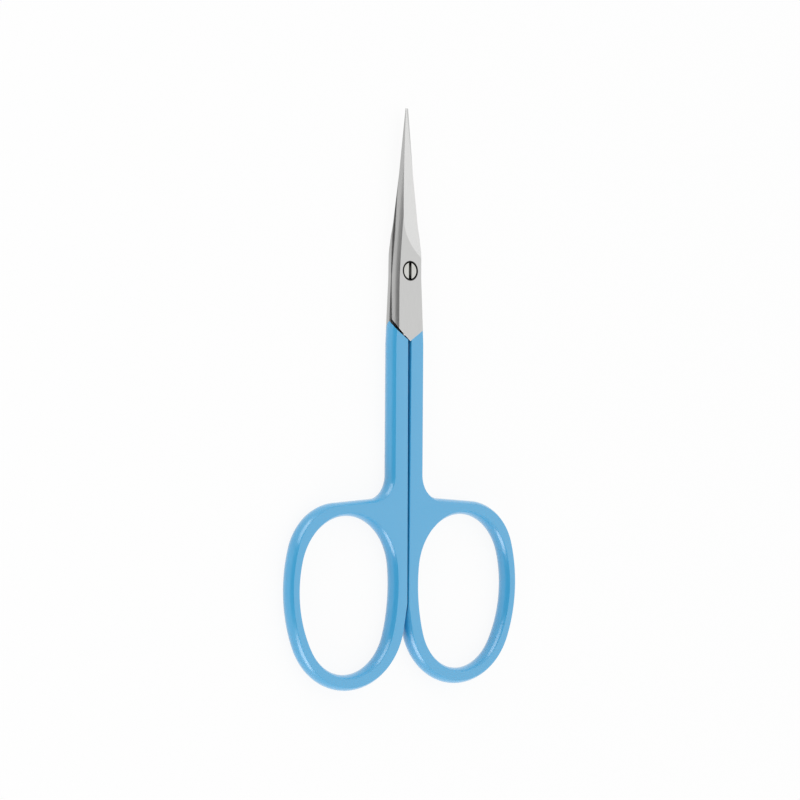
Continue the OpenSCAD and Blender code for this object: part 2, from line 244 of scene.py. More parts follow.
def form(name, inset, crease):
    """Closed mesh of the shank and ring, set in all round by inset."""
    top = HALF_T - inset
    bend = [top * s for s in SIDE_SHARES]
    edge = [top - crease * (1 - math.cos(math.radians(a))) for a in CREASE_TURNS]
    heights = sorted(set([h for h in bend if h < edge[0] - LEVEL_APART] + edge))
    heights = [-h for h in reversed(heights[1:])] + heights
    levels = [level(z, inset, crease) for z in heights]
    n, m = len(levels[0][0]), len(levels[0][1])
    points = np.vstack([np.vstack(pair) for pair in levels])
    stride, faces = n + m, []
    for k in range(len(heights) - 1):
        a, b = k * stride, (k + 1) * stride
        for j in range(n):
            i = (j + 1) % n
            faces.append((a + i, a + j, b + j, b + i))
        for j in range(m):
            i = (j + 1) % m
            faces.append((a + n + j, a + n + i, b + n + i, b + n + j))
    outer, hole = levels[0]
    cap = tessellate_polygon([[Vector(p) for p in outer], [Vector(p) for p in hole[::-1]]])
    order = list(range(n)) + [n + m - 1 - j for j in range(m)]
    last = (len(heights) - 1) * stride
    faces += [tuple(last + order[v] for v in tri) for tri in cap]
    faces += [tuple(order[v] for v in reversed(tri)) for tri in cap]
    mesh = bpy.data.meshes.new(name)
    mesh.from_pydata((points * MM).tolist(), [], faces)
    worker = bmesh.new()
    worker.from_mesh(mesh)
    bmesh.ops.recalc_face_normals(worker, faces=worker.faces)
    open_edges = sum(not e.is_manifold for e in worker.edges)
    worker.to_mesh(mesh)
    print(name, "levels", len(heights), "faces", len(mesh.polygons), "open edges", open_edges)
    worker.free()
    made = bpy.data.objects.new(name, mesh)
    bpy.context.scene.collection.objects.link(made)
    return made


coat_form = form("coat_form", 0.0, CREASE_R)
core_form = form("core_form", COAT, CORE_CREASE_R)

# %% [markdown]
# Materials come next, because the Geometry Nodes trees end by setting them.
# The coat is an epoxy powder coat, sprayed and baked: an even pigment under
# a clear, faintly rippled skin that gives broad soft reflections.

# %% Coat material
RIPPLE, SPECK = 0.9 * MM, 0.12 * MM  # width of a skin ripple, and of a pigment grain, drawn coarse


def material(name):
    made = bpy.data.materials.new(name)
    made.use_nodes = True
    return made, made.node_tree, made.node_tree.nodes["Principled BSDF"]


powder_coat, tree, shader = material("powder_coat_light_blue")
place = add(tree, "ShaderNodeTexCoord", out="Object")
ripple = add(tree, "ShaderNodeTexNoise", {"Vector": place, "Scale": 1 / RIPPLE, "Detail": 2.0})
speck = add(tree, "ShaderNodeTexNoise", {"Vector": place, "Scale": 1 / SPECK, "Detail": 3.0})
swatches = {0: speck, 6: linear("#309ECF"), 7: linear("#38A3D6")}
tree.links.new(add(tree, "ShaderNodeMix", swatches, 2, data_type="RGBA"), shader.inputs["Base Color"])
gloss = add(tree, "ShaderNodeMapRange", {"Value": ripple, "To Min": 0.3, "To Max": 0.38})
tree.links.new(gloss, shader.inputs["Roughness"])
skin = add(tree, "ShaderNodeMath", {0: ripple, 1: speck}, operation="ADD")
bump = add(tree, "ShaderNodeBump", {"Height": skin, "Strength": 0.03, "Distance": 0.02 * MM})
tree.links.new(bump, shader.inputs["Normal"])
shader.inputs["IOR"].default_value = 1.55
shader.inputs["Coat Weight"].default_value = 1.0
shader.inputs["Coat IOR"].default_value = 1.55
shader.inputs["Coat Roughness"].default_value = 0.22
print("coat material:", powder_coat.name)

# %% [markdown]
# The blades are stainless steel. Their flats are belt-ground along the
# length, and the bevel is ground finer and brighter, so the two differ in
# roughness and tone. The shader tells them apart by the way a face points:
# a bevel leans to the side by 19 degrees, the flats hardly at all, and the
# rounded sides far more. The seam round the screw's head and its slot's ends
# are drawn dark: painted shade in these recesses, with some oil and dust.

# %% Steel materials
GRAIN_ACROSS, GRAIN_ALONG = 0.10 * MM, 2.2 * MM  # width and length of a grinding line, drawn coarse
CLOUD = 1.6 * MM  # width of a patch that the belt left a little duller
SEAM_IN, SEAM_OUT = 1.37 * MM, 1.7 * MM  # the ring of painted shade round the head, from the screw's axis
SHADE_AND_DIRT_FLOOR, SHADE_AND_DIRT_TOP, SHADE_AND_DIRT_EDGE = 2.15 * MM, 2.93 * MM, 0.02 * MM  # its heights, and its fade
SLOT_FAINT_R, SLOT_DEEP_R = 0.6 * MM, 1.25 * MM  # the slot's painted shade is faint in the middle and deep at its ends
SLOT_FAINT_SHARE, SLOT_DEEP_SHARE = 0.2, 0.93
FLAT_LEAN, BEVEL_LEAN = 0.22, 0.27  # sine of a face's lean, from flat to bevel
GROUND_LEAN, SIDE_LEAN = 0.45, 0.6  # and from bevel to rounded side
UNEVEN = 0.02  # how far a patch moves the roughness


def ground_steel(name, flat_hex, bevel_hex, flat_rough, bevel_rough, marks):
    made, tree, shader = material(name)
    place = add(tree, "ShaderNodeTexCoord", out="Object")
    normal = add(tree, "ShaderNodeTexCoord", out="Normal")
    lines = (1 / GRAIN_ACROSS, 1 / GRAIN_ALONG, 1 / GRAIN_ACROSS)
    along = add(tree, "ShaderNodeMapping", {"Vector": place, "Scale": lines})
    grain = add(tree, "ShaderNodeTexNoise", {"Vector": along, "Scale": 1.0, "Detail": 3.0})
    cloud = add(tree, "ShaderNodeTexNoise", {"Vector": place, "Scale": 1 / CLOUD, "Detail": 2.0})
    aside = add(tree, "ShaderNodeSeparateXYZ", {"Vector": normal}, "X")
    lean = add(tree, "ShaderNodeMath", {0: aside}, operation="ABSOLUTE")
    leans = add(tree, "ShaderNodeMapRange", {"Value": lean, "From Min": FLAT_LEAN, "From Max": BEVEL_LEAN})
    steep = {"Value": lean, "From Min": GROUND_LEAN, "From Max": SIDE_LEAN}
    not_side = add(tree, "ShaderNodeMapRange", {**steep, "To Min": 1.0, "To Max": 0.0})
    bevel = add(tree, "ShaderNodeMath", {0: leans, 1: not_side}, operation="MULTIPLY")
    tones = {0: bevel, 6: linear(flat_hex), 7: linear(bevel_hex)}
    tone = add(tree, "ShaderNodeMix", tones, 2, data_type="RGBA")
    mark = add(tree, "ShaderNodeMapRange", {"Value": grain, "To Min": 1 - marks, "To Max": 1 + marks})
    both = {0: 1.0, 6: tone, 7: mark}
    marked = add(tree, "ShaderNodeMix", both, 2, data_type="RGBA", blend_type="MULTIPLY")
    # a mask of painted shade, with some oil and dust, for the seam round the head and the slot's ends
    from_axis = add(tree, "ShaderNodeVectorMath", {0: place, 1: PIVOT}, operation="SUBTRACT")
    from_axis = add(tree, "ShaderNodeVectorMath", {0: from_axis, 1: (1, 1, 0)}, operation="MULTIPLY")
    from_axis = add(tree, "ShaderNodeVectorMath", {0: from_axis}, "Value", operation="LENGTH")
    height = add(tree, "ShaderNodeSeparateXYZ", {"Vector": place}, "Z")
    near = {"Value": from_axis, "From Min": SEAM_OUT, "From Max": SEAM_OUT + SHADE_AND_DIRT_EDGE}
    near = add(tree, "ShaderNodeMapRange", {**near, "To Min": 1.0, "To Max": 0.0})
    low = {"Value": height, "From Min": SHADE_AND_DIRT_TOP - SHADE_AND_DIRT_EDGE, "From Max": SHADE_AND_DIRT_TOP}
    low = add(tree, "ShaderNodeMapRange", {**low, "To Min": 1.0, "To Max": 0.0})
    seam = {"Value": from_axis, "From Min": SEAM_IN - SHADE_AND_DIRT_EDGE, "From Max": SEAM_IN}
    seam = add(tree, "ShaderNodeMapRange", seam)
    low = add(tree, "ShaderNodeMath", {0: low, 1: seam}, operation="MAXIMUM")
    seat = {"Value": height, "From Min": SHADE_AND_DIRT_FLOOR - SHADE_AND_DIRT_EDGE, "From Max": SHADE_AND_DIRT_FLOOR}
    seat = add(tree, "ShaderNodeMapRange", seat)
    low = add(tree, "ShaderNodeMath", {0: low, 1: seat}, operation="MULTIPLY")
    slot_shade = {"Value": from_axis, "From Min": SLOT_FAINT_R, "From Max": SLOT_DEEP_R}
    slot_shade = add(tree, "ShaderNodeMapRange", {**slot_shade, "To Min": SLOT_FAINT_SHARE, "To Max": SLOT_DEEP_SHARE})
    shade_and_dirt = add(tree, "ShaderNodeMath", {0: near, 1: low}, operation="MULTIPLY")
    shade_and_dirt = add(tree, "ShaderNodeMath", {0: shade_and_dirt, 1: slot_shade}, operation="MULTIPLY")
    # the seam and the slot's ends get a near-black colour: painted shade, with some oil and dust
    shade_and_dirt_mix = {0: shade_and_dirt, 6: marked, 7: linear("#1C1B19")}
    tree.links.new(add(tree, "ShaderNodeMix", shade_and_dirt_mix, 2, data_type="RGBA"), shader.inputs["Base Color"])
    dull = add(tree, "ShaderNodeMapRange", {"Value": bevel, "To Min": flat_rough, "To Max": bevel_rough})
    uneven = add(tree, "ShaderNodeMapRange", {"Value": cloud, "To Min": -UNEVEN, "To Max": UNEVEN})
    rough = add(tree, "ShaderNodeMath", {0: dull, 1: uneven}, operation="ADD")
    tree.links.new(rough, shader.inputs["Roughness"])
    bump = add(tree, "ShaderNodeBump", {"Height": grain, "Strength": 0.12, "Distance": 0.01 * MM})
    tree.links.new(bump, shader.inputs["Normal"])
    shader.inputs["Metallic"].default_value = 1.0
    return made


blade_steel = ground_steel("stainless_steel_belt_ground", "#B6B6B5", "#DADAD9", 0.34, 0.26, 0.06)
screw_steel = ground_steel("stainless_steel_turned", "#B8B8B4", "#B8B8B4", 0.22, 0.22, 0.2)
print("steel materials:", blade_steel.name, screw_steel.name)

# %% [markdown]
# Geometry Nodes are right for the forging and the screw, because their
# shapes are rules with a few sizes, cut by flat and round tools as on a
# bench. Each tree gets a named input for each main size. Its result becomes
# a plain mesh, and the rear half's is turned half a turn about the long axis.


# %% Tree helpers
def new_tree(name, values):
    """A Geometry Nodes tree with one named input for each value."""
    tree = bpy.data.node_groups.new(name, "GeometryNodeTree")
    for label, value in values.items():
        kind = "NodeSocketObject" if isinstance(value, bpy.types.Object) else "NodeSocketFloat"
        tree.interface.new_socket(label, in_out="INPUT", socket_type=kind)
    tree.interface.new_socket("Geometry", in_out="OUTPUT", socket_type="NodeSocketGeometry")
    start = tree.nodes.new("NodeGroupInput")
    return tree, {s.name: s for s in start.outputs if s.name}


def end_tree(tree, shape, finish):
    """The last steps of every tree: real faces, and the material on them."""
    real = add(tree, "GeometryNodeRealizeInstances", {"Geometry": shape})
    dressed = add(tree, "GeometryNodeSetMaterial", {"Geometry": real, "Material": finish})
    add(tree, "NodeGroupOutput", {0: dressed})


CREASE = math.radians(12)  # a sharper turn than this between two faces stays a crease
WELD = 0.001 * MM  # points nearer than this are one point
FRONT = Matrix.Translation(PIVOT)
REAR = FRONT @ Matrix.Rotation(math.pi, 4, "Y")


def grow(tree, name, values, where):
    """Runs a tree and keeps what it makes as a plain closed mesh."""
    seed = bpy.data.objects.new(name + "_seed", bpy.data.meshes.new(name + "_seed"))
    bpy.context.scene.collection.objects.link(seed)
    modifier = seed.modifiers.new(name, "NODES")
    modifier.node_group = tree
    for item in tree.interface.items_tree:
        if item.in_out == "INPUT":
            modifier[item.identifier] = values[item.name]
    bpy.context.view_layer.update()
    grown = seed.evaluated_get(bpy.context.evaluated_depsgraph_get())
    mesh = bpy.data.meshes.new_from_object(grown)
    bpy.data.objects.remove(seed)
    mesh.name = name
    mesh.transform(where)
    worker = bmesh.new()
    worker.from_mesh(mesh)
    bmesh.ops.remove_doubles(worker, verts=worker.verts, dist=WELD)
    for face in worker.faces:
        face.smooth = True
    for edge in worker.edges:
        edge.smooth = len(edge.link_faces) == 2 and edge.calc_face_angle(0) < CREASE
    open_edges = sum(not e.is_manifold for e in worker.edges)
    print(name, len(worker.faces), "faces,", open_edges, "open edges,", end=" ")
    print(round(worker.calc_volume(signed=True) / MM**3, 1), "mm3")
    worker.to_mesh(mesh)
    worker.free()
    made = bpy.data.objects.new(name, mesh)
    bpy.context.scene.collection.objects.link(made)
    return made


print("pivot in mm:", [round(v / MM, 2) for v in PIVOT])

# %% [markdown]
# The shoulder, where the coat ends, is two ramps through the thickness that
# meet in the middle: one carries this half's own lap, and the other clears
# the lap of the other half. Each flat cut like these is one face of a large
# box, leant and turned about a point on the long axis.


# %% Flat cuts
def flat_cut(tree, reach, side, drop, turn, tilt, top):
    """A large box whose flat face passes through (0, -drop, top)."""
    size = add(tree, "ShaderNodeCombineXYZ", {"X": reach, "Y": reach, "Z": reach})
    box = add(tree, "GeometryNodeMeshCube", {"Size": size})
    half = add(tree, "ShaderNodeMath", {0: reach, 1: 0.5 * side}, operation="MULTIPLY")
    beside = add(tree, "ShaderNodeCombineXYZ", {"Y": half})
    box = add(tree, "GeometryNodeTransform", {"Geometry": box, "Translation": beside})
    down = add(tree, "ShaderNodeMath", {0: drop, 1: -1.0}, operation="MULTIPLY")
    spot = add(tree, "ShaderNodeCombineXYZ", {"Y": down, "Z": top})
    angles = add(tree, "ShaderNodeCombineXYZ", {"X": tilt, "Z": turn})
    return add(tree, "GeometryNodeTransform", {"Geometry": box, "Translation": spot, "Rotation": angles})


def two_ramps(tree, given, drop):
    """The shoulder's two ramps, one for each face of the half."""
    far_top = add(tree, "ShaderNodeMath", {0: given["Half Thickness"], 1: -1.0}, operation="MULTIPLY")
    far_tilt = add(tree, "ShaderNodeMath", {0: given["Ramp Angle"], 1: -1.0}, operation="MULTIPLY")
    near = (given["Shoulder Angle"], given["Ramp Angle"], given["Half Thickness"])
    far = (given["Shoulder Angle"], far_tilt, far_top)
    return [flat_cut(tree, given["Reach"], 1.0, drop, *each) for each in (near, far)]


SHOULDER = {
    "Half Thickness": HALF_T * MM,
    "Shoulder Drop": SHOULDER_DROP * MM,
    "Shoulder Angle": SHOULDER_ANGLE,
    "Ramp Angle": RAMP_ANGLE,
    "Reach": 80 * MM,
}
print("shoulder sizes:", {k: round(v, 4) for k, v in SHOULDER.items()})

# %% [markdown]
# The coat is the outer form less the steel inside it and less both ramps.
# It wraps the shank and ring all round, so it closes on itself inside.

# %% Coat of each handle
skin_sizes = {"Outer": coat_form, "Inner": core_form, **SHOULDER}
tree, given = new_tree("coat_on_the_handle", skin_sizes)
outer = add(tree, "GeometryNodeObjectInfo", {"Object": given["Outer"]}, "Geometry")
inner = add(tree, "GeometryNodeObjectInfo", {"Object": given["Inner"]}, "Geometry")
cuts = [inner, *two_ramps(tree, given, given["Shoulder Drop"])]
skin = add(tree, "GeometryNodeMeshBoolean", {0: outer, 1: cuts}, operation="DIFFERENCE", solver="MANIFOLD")
end_tree(tree, skin, powder_coat)
front_skin = grow(tree, "front_handle_coat", skin_sizes, FRONT)
rear_skin = grow(tree, "rear_handle_coat", skin_sizes, REAR)

# %% [markdown]
# The blade starts as a box of thin slices, which a rule bends: the cutting
# edge side runs straight to the tip, the spine side follows a parabola, the
# outer face thins towards the tip, and both sides are rounded like the
# ring's. One number runs along the blade, below zero behind the curve of
# the spine and 1 at the tip, and everything else is worked out from it.

# %% Blade blank
MATING_Z = 0.025  # mm from the middle plane to each half's mating face
SLICES, ROWS, RUN_BACK = 243, 13, -0.45  # points along and up the blank, and the number at its rear end
forging_sizes = {
    "Core": core_form,
    **SHOULDER,
    "Tip Reach": TIP_REACH * MM,
    "Tip Half Width": TIP_W * MM,
    "Tip Height": 0.25 * MM,
    "Thin Start": 10 * MM,
    "Edge Half Width": EDGE_W * MM,
    "Edge Start": EDGE_START * MM,
    "Spine Half Width": SPINE_W * MM,
    "Spine Start": 4 * MM,
    "Spine Bend": 5 * MM,
    "Shank Half Width": SHANK_W * MM,
    "Widen Start": WIDEN_START * MM,
    "Shank Start": SHANK_START * MM,
    "Mating Height": MATING_Z * MM,
    "Bulge Radius": BULGE_R * MM,
}
FRONT_OWN = {
    "Blade Set": 0.0,
    "Bore Radius": 1.03 * MM,
    "Seat Radius": 1.62 * MM,
    "Seat Height": 0.7 * MM,
}
REAR_OWN = {**FRONT_OWN, "Blade Set": REAR_SET, "Bore Radius": 0.87 * MM, "Seat Radius": 0.87 * MM}
tree, given = new_tree("forged_half", {**forging_sizes, **FRONT_OWN})
blank = {"Size": (1, 1, 1), "Vertices X": 2, "Vertices Y": SLICES, "Vertices Z": ROWS}
blank = add(tree, "GeometryNodeMeshCube", blank)
at = add(tree, "GeometryNodeInputPosition")
across, run, rise = add(tree, "ShaderNodeSeparateXYZ", {"Vector": at}).node.outputs
run = {"Value": run, "From Min": -0.5, "From Max": 0.5, "To Min": RUN_BACK, "To Max": 1.0}
run = add(tree, "ShaderNodeMapRange", run)
past = add(tree, "ShaderNodeMath", {0: run, 1: 0.0}, operation="MAXIMUM")
curve = add(tree, "ShaderNodeMath", {0: past, 1: past}, operation="MULTIPLY")
first_step = add(tree, "ShaderNodeMath", {0: given["Spine Bend"], 1: given["Spine Start"]}, operation="ADD")
first_step = add(tree, "ShaderNodeMath", {0: first_step, 1: 2.0}, operation="MULTIPLY")
whole = add(tree, "ShaderNodeMath", {0: given["Tip Reach"], 1: given["Spine Start"]}, operation="ADD")
second_step = add(tree, "ShaderNodeMath", {0: whole, 1: first_step}, operation="SUBTRACT")
length = add(tree, "ShaderNodeMath", {0: second_step, 1: curve}, operation="MULTIPLY")
length = add(tree, "ShaderNodeMath", {0: first_step, 1: run, 2: length}, operation="MULTIPLY_ADD")
length = add(tree, "ShaderNodeMath", {0: length, 1: given["Spine Start"]}, operation="SUBTRACT")

narrow = {0: given["Spine Half Width"], 1: given["Tip Half Width"]}
narrow = add(tree, "ShaderNodeMath", narrow, operation="SUBTRACT")
spine = add(tree, "ShaderNodeMath", {0: narrow, 1: curve}, operation="MULTIPLY")
spine = add(tree, "ShaderNodeMath", {0: spine, 1: given["Spine Half Width"]}, operation="SUBTRACT")
taper = {"Value": length, "From Min": given["Edge Start"], "From Max": given["Tip Reach"]}
taper |= {"To Min": given["Edge Half Width"], "To Max": given["Tip Half Width"]}
edge = add(tree, "ShaderNodeMapRange", taper)
back = add(tree, "ShaderNodeMath", {0: length, 1: -1.0}, operation="MULTIPLY")
flare = {0: given["Shank Half Width"], 1: given["Edge Half Width"]}
flare = add(tree, "ShaderNodeMath", flare, operation="SUBTRACT")
widen = {"Value": back, "From Min": given["Widen Start"], "From Max": given["Shank Start"]}
widen = add(tree, "ShaderNodeMapRange", {**widen, "To Min": 0.0, "To Max": flare})
edge = add(tree, "ShaderNodeMath", {0: edge, 1: widen}, operation="ADD")

thin = {"Value": length, "From Min": given["Thin Start"], "From Max": given["Tip Reach"]}
thin |= {"To Min": given["Half Thickness"], "To Max": given["Tip Height"]}
face = add(tree, "ShaderNodeMapRange", thin)
climb = {"Value": rise, "From Min": -0.5, "From Max": 0.5, "To Min": given["Mating Height"], "To Max": face}
height = add(tree, "ShaderNodeMapRange", climb)
round_r = given["Bulge Radius"]
squared = add(tree, "ShaderNodeMath", {0: round_r, 1: round_r}, operation="MULTIPLY")
rest = add(tree, "ShaderNodeMath", {0: height, 1: height}, operation="MULTIPLY")
rest = add(tree, "ShaderNodeMath", {0: squared, 1: rest}, operation="SUBTRACT")
rest = add(tree, "ShaderNodeMath", {0: rest}, operation="SQRT")
draw = add(tree, "ShaderNodeMath", {0: round_r, 1: rest}, operation="SUBTRACT")
left = add(tree, "ShaderNodeMath", {0: spine, 1: draw}, operation="ADD")
right = add(tree, "ShaderNodeMath", {0: edge, 1: draw}, operation="SUBTRACT")
ahead = add(tree, "ShaderNodeMath", {0: length, 1: 0.0}, operation="MAXIMUM")
slant = add(tree, "ShaderNodeMath", {0: given["Blade Set"]}, operation="TANGENT")
over = add(tree, "ShaderNodeMath", {0: ahead, 1: slant}, operation="MULTIPLY")
left = add(tree, "ShaderNodeMath", {0: left, 1: over}, operation="SUBTRACT")
right = add(tree, "ShaderNodeMath", {0: right, 1: over}, operation="SUBTRACT")
width = {"Value": across, "From Min": -0.5, "From Max": 0.5, "To Min": left, "To Max": right}
width = add(tree, "ShaderNodeMapRange", width)
bent = add(tree, "ShaderNodeCombineXYZ", {"X": width, "Y": length, "Z": height})
blade = add(tree, "GeometryNodeSetPosition", {"Geometry": blank, "Position": bent})
print("blade blank:", SLICES, "x", ROWS, "points on each side")

# %% [markdown]
# Then the blank is ground. A large wheel runs down from the tip and leaves
# the bevel, whose curved end shows in front of the screw. A second wheel
# hollows the inner face, so that only the edges of the two blades touch.

# %% Bevel and hollow
BEVEL_R, BEVEL_STOP, BEVEL_ANGLE, EDGE_LAND, BITE = 20.0, 8.6, math.radians(19), 0.1, 0.02
HOLLOW_R, HOLLOW_START, HOLLOW_DEPTH = 16.0, 5.5, 0.15
SWATH_W, SWATH_H, PAST_TIP = 12.0, 6.0, 1.0
WHEEL_SIDES, ROUND_SIDES = 512, 128  # flats that stand for a circle, on the wheels and on the screw
lean = math.atan((EDGE_W - TIP_W) / (TIP_REACH - EDGE_START))
stroke = (TIP_REACH - BEVEL_STOP) / math.cos(lean)
wheel = {"Vertices": WHEEL_SIDES, "Radius": BEVEL_R * MM, "Depth": SWATH_W * MM}
wheel = add(tree, "GeometryNodeMeshCylinder", wheel)
laid = {"Translation": (0, -stroke * MM, (BEVEL_R - BITE) * MM), "Rotation": (0, math.pi / 2, 0)}
wheel = add(tree, "GeometryNodeTransform", {"Geometry": wheel, **laid})
swath = (SWATH_W * MM, (stroke + PAST_TIP) * MM, SWATH_H * MM)
swath = add(tree, "GeometryNodeMeshCube", {"Size": swath})
laid = {"Translation": (0, (PAST_TIP - stroke) / 2 * MM, SWATH_H / 2 * MM)}
swath = add(tree, "GeometryNodeTransform", {"Geometry": swath, **laid})
bevel = add(tree, "GeometryNodeMeshBoolean", {1: [wheel, swath]}, operation="UNION", solver="MANIFOLD")
leant = {"Translation": (TIP_W * MM, TIP_REACH * MM, EDGE_LAND * MM), "Rotation": (0, BEVEL_ANGLE, lean)}
bevel = add(tree, "GeometryNodeTransform", {"Geometry": bevel, **leant})
set_over = add(tree, "ShaderNodeCombineXYZ", {"Z": given["Blade Set"]})
bevel = add(tree, "GeometryNodeTransform", {"Geometry": bevel, "Rotation": set_over})
fall = math.atan(HOLLOW_DEPTH / (TIP_REACH - HOLLOW_START))
hollow_run = TIP_REACH - HOLLOW_START + PAST_TIP
hollow = {"Vertices": WHEEL_SIDES, "Radius": HOLLOW_R * MM, "Depth": hollow_run * MM}
hollow = add(tree, "GeometryNodeMeshCylinder", hollow)
hollow = add(tree, "GeometryNodeTransform", {"Geometry": hollow, "Translation": (0, 0, hollow_run / 2 * MM)})
low = MATING_Z + HOLLOW_DEPTH - HOLLOW_R
laid = {"Translation": (0, HOLLOW_START * MM, low * MM), "Rotation": (-math.pi / 2 - fall, 0, 0)}
hollow = add(tree, "GeometryNodeTransform", {"Geometry": hollow, **laid})
print("bevel's stroke in mm:", round(stroke, 2))

# %% [markdown]
# The lap's end runs near the other half's shoulder. It is turned a little
# further, so the gap between them is a thin wedge, and its sharp arris is
# broken. The steel under the coat runs a little way up inside the lap, which
# roots it there, and it keeps clear of the other half's lap.

# %% Shoulder, lap end and steel under the coat
reach, top = given["Reach"], given["Half Thickness"]
shoulder = (given["Shoulder Drop"], given["Shoulder Angle"], given["Ramp Angle"], top)
below = flat_cut(tree, reach, -1.0, *shoulder)
LAP_CLEAR, LAP_END_TURN = 0.18, math.radians(-40)
ARRIS, ARRIS_TILT = 0.07, math.radians(-40)  # width of the broken edge at the lap's end, and its lean
lap_end = (SHOULDER_DROP - LAP_CLEAR) * MM
end_cut = flat_cut(tree, reach, -1.0, lap_end, LAP_END_TURN, given["Ramp Angle"], top)
arris = flat_cut(tree, reach, -1.0, lap_end - ARRIS * MM, LAP_END_TURN, ARRIS_TILT, top)
cuts = [below, end_cut, arris, bevel, hollow]
lap = add(tree, "GeometryNodeMeshBoolean", {0: blade, 1: cuts}, operation="DIFFERENCE", solver="MANIFOLD")
ROOT, ROOT_LIFT = 0.5, 0.05  # how far the core runs up inside the lap, and stays off the mating face
SLAB_W, SLAB_H = 200.0, 100.0
root_drop = add(tree, "ShaderNodeMath", {0: given["Shoulder Drop"], 1: -ROOT * MM}, operation="ADD")
near = two_ramps(tree, given, root_drop)[0]
far = two_ramps(tree, given, given["Shoulder Drop"])[1]
slab = add(tree, "GeometryNodeMeshCube", {"Size": (SLAB_W * MM, SLAB_W * MM, SLAB_H * MM)})
sunk = (0, 0, (MATING_Z + ROOT_LIFT - SLAB_H / 2) * MM)
slab = add(tree, "GeometryNodeTransform", {"Geometry": slab, "Translation": sunk})
clear = add(tree, "GeometryNodeMeshBoolean", {1: [far, slab]}, operation="INTERSECT", solver="MANIFOLD")
core = add(tree, "GeometryNodeObjectInfo", {"Object": given["Core"]}, "Geometry")
core = {0: core, 1: [near, clear]}
core = add(tree, "GeometryNodeMeshBoolean", core, operation="DIFFERENCE", solver="MANIFOLD")
half = add(tree, "GeometryNodeMeshBoolean", {1: [lap, core]}, operation="UNION", solver="MANIFOLD")
print("lap's end: mm from the pivot", round(lap_end / MM, 2), "degrees", round(math.degrees(LAP_END_TURN)))

# %% [markdown]
# The front half is bored to run on the screw's neck, and its outer face is
# sunk to seat the head. The rear half gets one plain hole, in which the
# thread sits. Then both halves are made from the one tree.

# %% Screw hole
BORE_DEPTH, SEAT_DEPTH = 4, 2  # mm, both longer than the hole they cut
bore = {"Vertices": ROUND_SIDES, "Radius": given["Bore Radius"], "Depth": BORE_DEPTH * MM}
bore = add(tree, "GeometryNodeMeshCylinder", bore)
seat = {"Vertices": ROUND_SIDES, "Radius": given["Seat Radius"], "Depth": SEAT_DEPTH * MM}
seat = add(tree, "GeometryNodeMeshCylinder", seat)
raised = add(tree, "ShaderNodeMath", {0: given["Seat Height"], 1: SEAT_DEPTH / 2 * MM}, operation="ADD")
raised = add(tree, "ShaderNodeCombineXYZ", {"Z": raised})
seat = add(tree, "GeometryNodeTransform", {"Geometry": seat, "Translation": raised})
holes = {0: half, 1: [bore, seat]}
half = add(tree, "GeometryNodeMeshBoolean", holes, operation="DIFFERENCE", solver="MANIFOLD")
end_tree(tree, half, blade_steel)
front_steel = grow(tree, "front_forging", {**forging_sizes, **FRONT_OWN}, FRONT)
rear_steel = grow(tree, "rear_forging", {**forging_sizes, **REAR_OWN}, REAR)

# %% [markdown]
# The screw is turned from bar: a slotted head with a broken edge, the neck
# that the front half turns on, and a thread cut in a helix, which sits in
# the rear half. The thread is a thin ridge that follows a spiral curve.

# %% Pivot screw
HEAD_R, HEAD_H, HEAD_SINK, EASE = 1.42, 0.72, 0.05, 0.06
HEAD_TOP = HALF_T - HEAD_SINK
NECK_H, NECK_MID = 0.9, 0.425  # height and middle, from the pivot's middle plane
SHAFT_H, SHAFT_MID = 1.9, -0.55
THREAD_TURNS, THREAD_R, THREAD_H, THREAD_LOW, RIDGE_R = 3.6, 0.76, 1.26, -1.38, 0.1
screw_sizes = {
    "Head Radius": HEAD_R * MM,
    "Head Height": HEAD_H * MM,
    "Eased Edge": EASE * MM,
    "Slot Width": 0.62 * MM,
    "Slot Depth": 0.4 * MM,
    "Neck Radius": 1.0 * MM,
    "Root Radius": 0.74 * MM,
}
tree, given = new_tree("slotted_screw", screw_sizes)
head = {"Vertices": ROUND_SIDES, "Radius": given["Head Radius"], "Depth": given["Head Height"]}
head = add(tree, "GeometryNodeMeshCylinder", head)
middle = (0, 0, (HEAD_TOP - HEAD_H / 2) * MM)
head = add(tree, "GeometryNodeTransform", {"Geometry": head, "Translation": middle})
narrowed = {0: given["Head Radius"], 1: given["Eased Edge"]}
narrowed = add(tree, "ShaderNodeMath", narrowed, operation="SUBTRACT")
wide = add(tree, "ShaderNodeMath", {0: given["Head Radius"], 1: given["Head Height"]}, operation="ADD")
cone = {"Vertices": ROUND_SIDES, "Radius Top": narrowed, "Radius Bottom": wide}
tall = add(tree, "ShaderNodeMath", {0: given["Head Height"], 1: given["Eased Edge"]}, operation="ADD")
cone = add(tree, "GeometryNodeMeshCone", {**cone, "Depth": tall})
base = (0, 0, (HEAD_TOP - HEAD_H - EASE) * MM)
cone = add(tree, "GeometryNodeTransform", {"Geometry": cone, "Translation": base})
head = add(tree, "GeometryNodeMeshBoolean", {1: [head, cone]}, operation="INTERSECT", solver="MANIFOLD")
